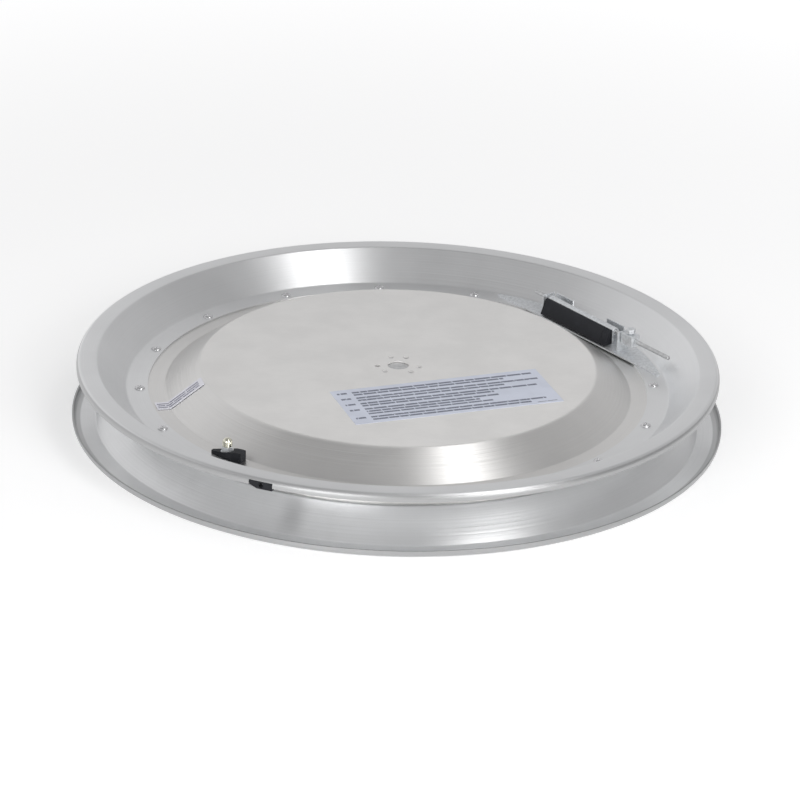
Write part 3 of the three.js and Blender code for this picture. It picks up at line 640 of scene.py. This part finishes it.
# %% [markdown]
# ## Drilling
#
# Each cover has six screw holes in three pairs round its centre hole, and the upper flange's
# curled edge has one notch for the rubber grommet. The screw holes repeat, so a second tree puts
# a drill at each place and takes them all away at once. The notch is a single cut, so a Boolean
# modifier makes it.

# %% Screw holes in the covers
SCREW_CIRCLE, SCREW_PAIRS, SCREW_SPREAD, SCREW_HOLE = 19.5, 3, 21.5, 2.75


def drill_tree():
    tree, given = new_tree("drill_pairs", [
        ("Circle Radius", "Float"), ("Pairs", "Int"), ("First Angle", "Float"),
        ("Spread", "Float"), ("Hole Radius", "Float"), ("Depth", "Float"), ("Finish", "Material")])
    ring = add(tree, "GeometryNodeMeshCircle", None,
               {"Vertices": given.other("Pairs"), "Radius": given.other("Circle Radius")})
    sides = []
    for side in (-1.0, 1.0):
        angle = given.other("First Angle") + given.other("Spread") * side
        turn = add(tree, "ShaderNodeCombineXYZ", None, {2: angle})
        sides.append(add(tree, "GeometryNodeTransform", None,
                         {"Geometry": ring, "Rotation": turn}))
    places = add(tree, "GeometryNodeJoinGeometry", None, {0: sides})
    drill = add(tree, "GeometryNodeMeshCylinder", None,
                {"Vertices": 32, "Radius": given.other("Hole Radius"),
                 "Depth": given.other("Depth")})
    drills = add(tree, "GeometryNodeInstanceOnPoints", None, {"Points": places, "Instance": drill})
    real = add(tree, "GeometryNodeRealizeInstances", None, {0: drills})
    cut = add(tree, "GeometryNodeMeshBoolean", {"operation": "DIFFERENCE"},
              {"Mesh 1": given, "Mesh 2": real})
    return close_tree(tree, cut, given.other("Finish"))


drill_pairs = drill_tree()


def drilled(sheet):
    name, mesh = sheet.name, sheet.data
    bpy.data.objects.remove(sheet)
    mesh.name = name + "_blank"
    return run_tree(name, mesh, drill_pairs, {
        "Circle Radius": SCREW_CIRCLE * MM, "Pairs": SCREW_PAIRS,
        "First Angle": math.radians(90), "Spread": math.radians(SCREW_SPREAD),
        "Hole Radius": SCREW_HOLE * MM, "Depth": 0.2, "Finish": cover_aluminium})


upper_cover, lower_cover = drilled(upper_cover), drilled(lower_cover)
print("drilled covers:", len(upper_cover.data.polygons), len(lower_cover.data.polygons), "faces")

# %% Round pieces about their own axis
def turned(name, outline, segments, material, to=Matrix.Identity(4)):
    """Turns an (r, z) outline in millimetres about Z, then puts it in place."""
    body = bmesh.new()
    rings = []
    for r, z in outline:
        count = 1 if r == 0 else segments
        rings.append([body.verts.new((
            r * MM * math.cos(2 * math.pi * k / segments),
            r * MM * math.sin(2 * math.pi * k / segments), z * MM)) for k in range(count)])
    closed = outline[0][0] > 0
    for i in range(len(rings) if closed else len(rings) - 1):
        low, high = rings[i], rings[(i + 1) % len(rings)]
        for k in range(segments):
            corners = [low[k % len(low)], low[(k + 1) % len(low)],
                       high[(k + 1) % len(high)], high[k % len(high)]]
            unique = list(dict.fromkeys(corners))
            if len(unique) > 2:
                body.faces.new(unique)
    bmesh.ops.recalc_face_normals(body, faces=body.faces)
    mesh = bpy.data.meshes.new(name)
    body.to_mesh(mesh)
    body.free()
    mesh.transform(to)
    mesh.materials.append(material)
    return settle(bpy.data.objects.new(name, mesh))


def keep_shape(piece):
    """Makes a piece's modifiers part of its mesh."""
    made = baked(piece)
    made.name = piece.name
    piece.data = made
    return piece


print("turning helper ready")

# %% The notch in the upper flange's curled edge
GROMMET_ANGLE, NOTCH_WIDTH = -113.3, 23.0
curl_foot = DRUM_HEIGHT - CURL_DEPTH
notch_middle = (UPPER_RIM - 3.0, curl_foot + 1.3)
notch_size = (10.0, 6.6)
drill = bmesh.new()
bmesh.ops.create_cube(drill, size=1.0, matrix=(
    Matrix.Rotation(math.radians(GROMMET_ANGLE), 4, "Z")
    @ Matrix.Translation((notch_middle[0] * MM, 0.0, notch_middle[1] * MM))
    @ Matrix.Diagonal((notch_size[0] * MM, NOTCH_WIDTH * MM, notch_size[1] * MM, 1.0))))
drill_mesh = bpy.data.meshes.new("notch_drill")
drill.to_mesh(drill_mesh)
drill.free()
cutter = bpy.data.objects.new("notch_drill", drill_mesh)
bpy.context.scene.collection.objects.link(cutter)
notch = upper_sheet.modifiers.new("edge_notch", "BOOLEAN")
notch.object = cutter
notch.operation = "DIFFERENCE"
settle(keep_shape(upper_sheet))
bpy.data.objects.remove(cutter)
print("upper flange with its edge notch:", len(upper_sheet.data.polygons), "faces")
for piece, node, slot in ((upper_sheet, "upper_flange", "spun_aluminium"),
                          (lower_sheet, "lower_flange", "spun_aluminium"),
                          (upper_cover, "upper_spring_cover", "cover_aluminium"),
                          (lower_cover, "lower_spring_cover", "cover_aluminium")):
    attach(piece, "drum")
    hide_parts(node)

# %% [markdown]
# ## Sixteen rivets
#
# Blind rivets hold the two flanges and both covers together. One rivet is turned with its domed
# head, the dimple its pin leaves and the clenched tail. A tree puts a copy at each place on the
# circle, gives each a turn of its own from a fixed seed, and lifts the two that pass through the
# clamp bracket by the thickness of its plate.

# %% Rivets
def rivet_tree():
    tree, given = new_tree("rivet_circle", [
        ("Count", "Int"), ("Circle Radius", "Float"), ("First Angle", "Float"),
        ("First Lifted", "Int"), ("Last Lifted", "Int"), ("Lift", "Float"), ("Seed", "Int"),
        ("Finish", "Material")])
    ring = add(tree, "GeometryNodeMeshCircle", None,
               {"Vertices": given.other("Count"), "Radius": given.other("Circle Radius")})
    turn = add(tree, "ShaderNodeCombineXYZ", None, {2: given.other("First Angle")})
    placed = add(tree, "GeometryNodeTransform", None, {"Geometry": ring, "Rotation": turn})
    index = add(tree, "GeometryNodeInputIndex")
    after = add(tree, "ShaderNodeMath", {"operation": "GREATER_THAN"},
                {0: index, 1: given.other("First Lifted") - 0.5})
    lifted = after * index.below(given.other("Last Lifted") + 0.5)
    rise = add(tree, "ShaderNodeCombineXYZ", None, {2: lifted * given.other("Lift")})
    raised = add(tree, "GeometryNodeSetPosition", None, {"Geometry": placed, "Offset": rise})
    spin = add(tree, "FunctionNodeRandomValue", {"data_type": "FLOAT_VECTOR"},
               {0: (0.0, 0.0, 0.0), 1: (0.0, 0.0, 6.283), "Seed": given.other("Seed")})
    copies = add(tree, "GeometryNodeInstanceOnPoints", None,
                 {"Points": raised, "Instance": given, "Rotation": spin})
    return close_tree(tree, copies, given.other("Finish"))


one_rivet = turned("one_rivet", [
    (0, 24.8), (1.4, 24.4), (2.7, 24.4), (3.5, 25.0), (3.8, 25.8), (3.8, 26.9), (2.4, 27.0),
    (2.4, 33.0), (4.6, 33.0), (4.8, 33.25), (4.5, 33.75), (3.9, 34.25), (3.0, 34.7), (2.1, 34.9),
    (1.55, 34.85), (1.3, 34.6), (1.2, 33.9), (0.9, 33.8), (0, 34.15),
], 24, rivet_aluminium)
rivet_mesh = one_rivet.data
bpy.data.objects.remove(one_rivet)
rivets = run_tree("rivets", rivet_mesh, rivet_tree(), {
    "Count": RIVET_COUNT, "Circle Radius": RIVET_CIRCLE * MM,
    "First Angle": math.radians(RIVET_FIRST), "First Lifted": 1, "Last Lifted": 2,
    "Lift": BRACKET_SHEET * MM, "Seed": 7, "Finish": rivet_aluminium})
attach(rivets, "drum")
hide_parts(*sorted(n for n in nodes if n.startswith("rivet_")))
print("rivets", len(rivets.data.polygons), "faces", extent(rivets))

# %% [markdown]
# ## Softened edges on cut and pressed pieces
#
# The bracket, the leaf, the collar, the nut and the two small rubber blocks have the right shape
# in the frame, but real edges are broken or rounded and catch a thin line of light. A merged copy
# of each solid gets its flat faces joined again, a small bevel on every sharp edge, and weighted
# normals so that the flats still look flat.

# %% Copies with bevelled edges
BEVEL_RINGS, BEVEL_FROM = 3, 38.0


def softened(name, node, width_mm, material, body_name="drum"):
    """A copy of a solid with bevelled edges, which takes the solid's place."""
    mesh = nodes[node].data.copy()
    mesh.name = name
    mesh.materials.clear()
    mesh.materials.append(material)
    body = bmesh.new()
    body.from_mesh(mesh)
    bmesh.ops.remove_doubles(body, verts=body.verts, dist=2e-6)
    bmesh.ops.dissolve_limit(body, angle_limit=math.radians(1.0), verts=body.verts,
                             edges=body.edges)
    body.to_mesh(mesh)
    body.free()
    piece = bpy.data.objects.new(name, mesh)
    bpy.context.scene.collection.objects.link(piece)
    bevel = piece.modifiers.new("edges", "BEVEL")
    bevel.width = width_mm * MM
    bevel.segments = BEVEL_RINGS
    bevel.limit_method = "ANGLE"
    bevel.angle_limit = math.radians(BEVEL_FROM)
    settle(keep_shape(piece), 60.0)
    weigh = piece.modifiers.new("flats", "WEIGHTED_NORMAL")
    weigh.keep_sharp = True
    keep_shape(piece)
    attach(piece, body_name)
    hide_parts(node)
    return piece


softened("bracket_plate", "clamp_bracket", 0.3, zinc_plate)
softened("jaw_leaf_plate", "jaw_leaf", 0.2, zinc_plate, "jaw")
softened("collar_block", "rod_collar", 0.7, zinc_plate)
softened("collar_bolt", "rod_collar_screw", 0.35, zinc_plate)
softened("wedge_block", "rope_clamp_wedge", 0.5, black_rubber)
softened("grommet_block", "rope_grommet", 0.5, black_rubber)
softened("hex_nut", "rope_clamp_nut", 0.45, zinc_plate)

# %% [markdown]
# ## Rod, stud, washer and cap nut
#
# These are plain turned parts. Each is turned again from its outline with more segments, and its
# place is read from the frame: the middle of the solid's own box gives the axis.

# %% Turned hardware
def middle(node):
    low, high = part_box(node)
    return (low + high) / 2


def standing(name, node, outline, material):
    """A turned piece on the upright axis of a node, its outline measured from the drum's foot."""
    at = middle(node)
    piece = turned(name, outline, 48, material, Matrix.Translation((at.x, at.y, 0.0)))
    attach(piece, "drum")
    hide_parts(node)
    return piece


standing("clamp_washer", "rope_clamp_washer", [
    (3.3, 36.5), (5.8, 36.5), (6.0, 36.7), (6.0, 37.5), (5.8, 37.7), (3.3, 37.7),
], zinc_plate)
standing("clamp_stud", "rope_clamp_stud", [
    (0, 31.5), (3.0, 31.5), (3.0, 45.2), (2.5, 45.7), (0, 45.7)], zinc_plate)
dome = [(4.6 * math.cos(a), 46.6 + 4.1 * math.sin(a)) for a in
        [math.pi / 2 * k / 12 for k in range(12)]]
standing("cap_nut", "rope_clamp_cap_nut", [
    (0, 46.0), (3.3, 46.0), (3.3, 42.7), (4.3, 42.7), (4.6, 43.0), (4.6, 44.4), (4.2, 44.7),
    (4.2, 45.2), (4.6, 45.5)] + dome + [(0, 50.7)], yellow_zinc)

along_bracket = Matrix.Rotation(math.radians(BRACKET_ANGLE - 90), 4, "Z")


def in_bracket(node):
    """Lowest and highest corner of a node along and across the bracket, in millimetres."""
    back = along_bracket.inverted()
    corners = [back @ v.co for v in nodes[node].data.vertices]
    return [[f(c[i] for c in corners) / MM for i in range(3)] for f in (min, max)]


rod_low, rod_high = in_bracket("jaw_rod")
rod_axis = ((rod_low[1] + rod_high[1]) / 2, (rod_low[2] + rod_high[2]) / 2)
lay_rod = (along_bracket @ Matrix.Translation((0.0, rod_axis[0] * MM, rod_axis[1] * MM))
           @ Matrix.Rotation(math.pi / 2, 4, "Y"))
rod = turned("rod_bar", [
    (0, rod_low[0]), (1.6, rod_low[0]), (2.0, rod_low[0] + 0.5), (2.0, rod_high[0] - 0.5),
    (1.6, rod_high[0]), (0, rod_high[0])], 32, machined_steel, lay_rod)
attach(rod, "drum")
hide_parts("jaw_rod")
print("rod from", round(rod_low[0], 1), "to", round(rod_high[0], 1), "mm along the bracket")

# %% [markdown]
# ## The jaw's rubber pad
#
# The pad is a long moulded wedge with rounded edges, and three grooves near one end that leave
# ribs between them. It is lofted: one rounded outline is repeated along its length, drawn in a
# little at the grooves and at both ends.

# %% Rubber pad
def loft(name, stations, material, to):
    """Joins outlines of equal length, lists of (x, y, z) in millimetres, and caps the ends."""
    body = bmesh.new()
    rings = [[body.verts.new(Vector(p) * MM) for p in outline] for outline in stations]
    for low, high in zip(rings, rings[1:]):
        for k in range(len(low)):
            nxt = (k + 1) % len(low)
            body.faces.new((low[k], low[nxt], high[nxt], high[k]))
    body.faces.new(rings[0][::-1])
    body.faces.new(rings[-1])
    bmesh.ops.recalc_face_normals(body, faces=body.faces)
    mesh = bpy.data.meshes.new(name)
    body.to_mesh(mesh)
    body.free()
    mesh.transform(to)
    mesh.materials.append(material)
    return settle(bpy.data.objects.new(name, mesh), 40.0)


print("loft helper ready")

# %% The pad's outline and its stations
pad_low, pad_high = in_bracket("jaw_pad")
PAD_TOP_DEPTH, PAD_ROUNDING = 2.2, 0.8


def pad_outline(x, shrink):
    """Rounded wedge across the pad at a place along it, drawn in by an amount."""
    y0, y1 = pad_low[1] + shrink, pad_high[1] - shrink
    z0, z1 = pad_low[2] + shrink, pad_high[2] - shrink
    corners = [Vector(c) for c in ((y0, z0), (y1, z0), (y1, z1), (y1 - PAD_TOP_DEPTH, z1))]
    points = []
    for i, corner in enumerate(corners):
        before = (corners[i - 1] - corner).normalized()
        after = (corners[(i + 1) % 4] - corner).normalized()
        for k in range(5):
            share = k / 4
            inset = before * PAD_ROUNDING * (1 - share) ** 2 + after * PAD_ROUNDING * share ** 2
            points.append((x, *(corner + inset)))
    return points


left, right = pad_low[0], pad_high[0]
cuts = [(left, 0.8), (left + 0.25, 0.35), (left + 0.8, 0.0)]
for groove in (right - 9.2, right - 6.2, right - 3.2):
    cuts += [(groove - 0.6, 0.0), (groove - 0.4, 0.55),
             (groove + 0.4, 0.55), (groove + 0.6, 0.0)]
cuts += [(right - 0.8, 0.0), (right - 0.25, 0.35), (right, 0.8)]
pad = loft("pad_block", [pad_outline(x, s) for x, s in cuts], black_rubber, along_bracket)
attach(pad, "jaw")
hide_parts("jaw_pad")
print("pad", round(right - left, 1), "mm long with", len(cuts), "stations")

# %% [markdown]
# ## Finishes for the solids that stay
#
# The labels and everything inside the covers already have their final shape in the frame. They
# keep their own meshes and take a finish on their material slots.

# %% Paint the carried-over solids
STAYING = {
    "caution_label": label_film, "rating_label": label_paper,
    "upper_hub_plate": machined_steel, "lower_hub_plate": machined_steel,
    "upper_bush": bearing_bronze, "lower_bush": bearing_bronze,
    "arbor": machined_steel, "power_spring": spring_steel, "spring_anchor_pin": machined_steel,
}
for node, material in STAYING.items():
    for slot in nodes[node].material_slots:
        slot.material = material
print("painted", len(STAYING), "solids")

# %% [markdown]
# ## Floor, light and camera
#
# The drum lies on a plain pale floor. A long soft panel overhead, a little to the right, makes
# the long glints, and two broad ones in front light the labels and the rims. The world is the
# room: a gradient over direction, with a dimmer ceiling and paler walls, a little brighter on the
# left. The floor also has a glow of its own, which rises with distance. Only the camera,
# reflections and transmitted rays see it, so it doesn't fill the drum's shadow.

# %% Floor
FLOOR_REACH, FLOOR_GAP, FLOOR_TONE = 30.0, 0.0003, 0.82
GLOW_FROM, GLOW_TO, GLOW_NEAR, GLOW_FAR = 0.5, 2.0, 0.35, 0.66
floor_mesh = bpy.data.meshes.new("floor")
signs = [(-1, -1), (1, -1), (1, 1), (-1, 1)]
floor_corners = [(x * FLOOR_REACH, y * FLOOR_REACH, 0.0) for x, y in signs]
floor_mesh.from_pydata(floor_corners, [], [(0, 1, 2, 3)])
floor_mesh.transform(Matrix.Translation((0.0, 0.0, cad_box[0][2] - FLOOR_GAP)))
floor = bpy.data.objects.new("floor", floor_mesh)
bpy.context.scene.collection.objects.link(floor)
floor_paint = bpy.data.materials.new("floor_paint")
floor_paint.use_nodes = True
floor_tree = floor_paint.node_tree
floor_tree.nodes.clear()
matt = add(floor_tree, "ShaderNodeBsdfDiffuse", None, {"Color": shaded([FLOOR_TONE] * 3)})
east, north, _ = split(floor_tree, add(floor_tree, "ShaderNodeTexCoord", output="Object"))
away = east.math("SQRT", east * east + north * north)
glow = band(floor_tree, away, GLOW_FROM, GLOW_TO, GLOW_NEAR, GLOW_FAR)
pale = add(floor_tree, "ShaderNodeCombineColor", None, {0: glow, 1: glow, 2: glow})
lift = add(floor_tree, "ShaderNodeEmission", None, {"Color": pale, "Strength": 1.0})
rays = add(floor_tree, "ShaderNodeLightPath")
mirrored = rays.math("MAXIMUM", rays.other("Is Glossy Ray"), rays.other("Is Transmission Ray"))
seen = rays.math("MAXIMUM", rays, mirrored)
both = add(floor_tree, "ShaderNodeAddShader", None, {0: matt, 1: lift})
mixed = add(floor_tree, "ShaderNodeMixShader", None, {0: seen, 1: matt, 2: both})
add(floor_tree, "ShaderNodeOutputMaterial", None, {0: mixed})
floor_mesh.materials.append(floor_paint)
print("floor at", round(floor_mesh.vertices[0].co.z / MM, 2), "mm")

# %% Room light
WALL_LEVEL, CEILING_LEVEL = 0.60, 0.34
world = bpy.data.worlds.new("room")
bpy.context.scene.world = world
world.use_nodes = True
room = world.node_tree
room.nodes.clear()
ray = add(room, "ShaderNodeTexCoord", output="Generated")
side, depth, up = split(room, ray)
walls = WALL_LEVEL - side * 0.2 + band(room, depth, 0.2, 1.0, 0.0, 0.05)
ceiling = band(room, up, 0.55, 0.9)
level = walls * (1.0 - ceiling) + ceiling * CEILING_LEVEL
grey = add(room, "ShaderNodeCombineColor", None, {0: level, 1: level, 2: level * 1.01})
lit = add(room, "ShaderNodeBackground", None, {"Color": grey, "Strength": 1.0})
add(room, "ShaderNodeOutputWorld", None, {0: lit})


def panel(name, centre, along, length, width, energy):
    """A soft rectangular lamp that faces the drum, with its long side in a given direction."""
    data = bpy.data.lights.new(name, "AREA")
    data.shape = "RECTANGLE"
    data.size, data.size_y, data.energy = width, length, energy
    lamp = bpy.data.objects.new(name, data)
    bpy.context.scene.collection.objects.link(lamp)
    out = (Vector(centre) - Vector((0, 0, 0.03))).normalized()
    sideways = Vector(along).cross(out).normalized()
    turn = Matrix((sideways, out.cross(sideways), out)).transposed().to_4x4()
    lamp.matrix_world = Matrix.Translation(centre) @ turn
    return lamp


panel("overhead_panel", (0.68, -0.44, 1.75), (0.36, -0.93, 0.0), 1.7, 0.42, 5.0)
panel("front_panel", (1.4, -1.9, 1.3), (0.81, 0.59, 0.0), 1.3, 1.0, 20.0)
panel("left_panel", (-0.95, -2.35, 0.95), (1.0, -0.4, 0.0), 1.3, 1.0, 16.0)

# %% Camera
ELEVATION, ROLL, DISTANCE = math.radians(23.73), math.radians(1.69), 4.739
target = Vector((0.0026, 0.0, 0.0194))
back = Vector((0.0, -math.cos(ELEVATION), math.sin(ELEVATION)))
level_up = Vector((0.0, math.sin(ELEVATION), math.cos(ELEVATION)))
across = math.cos(ROLL) * Vector((1, 0, 0)) + math.sin(ROLL) * level_up
upward = -math.sin(ROLL) * Vector((1, 0, 0)) + math.cos(ROLL) * level_up
eye = target + back * DISTANCE
camera_data = bpy.data.cameras.new("camera")
camera_data.lens, camera_data.sensor_width = 227.7, 36.0
camera_data.clip_end = 50.0
camera = bpy.data.objects.new("camera", camera_data)
camera.matrix_world = Matrix((
    (across.x, upward.x, back.x, eye.x), (across.y, upward.y, back.y, eye.y),
    (across.z, upward.z, back.z, eye.z), (0.0, 0.0, 0.0, 1.0)))
bpy.context.scene.collection.objects.link(camera)
bpy.context.scene.camera = camera
bpy.context.scene.view_settings.view_transform = "Standard"
print("camera at", [round(v, 3) for v in eye])

# %% [markdown]
# ## The solids' box
#
# The looks must stay inside the solids' box, so that box is printed.

# %% Print the solids' box
print("cad", [[round(v, 4) for v in c] for c in cad_box])
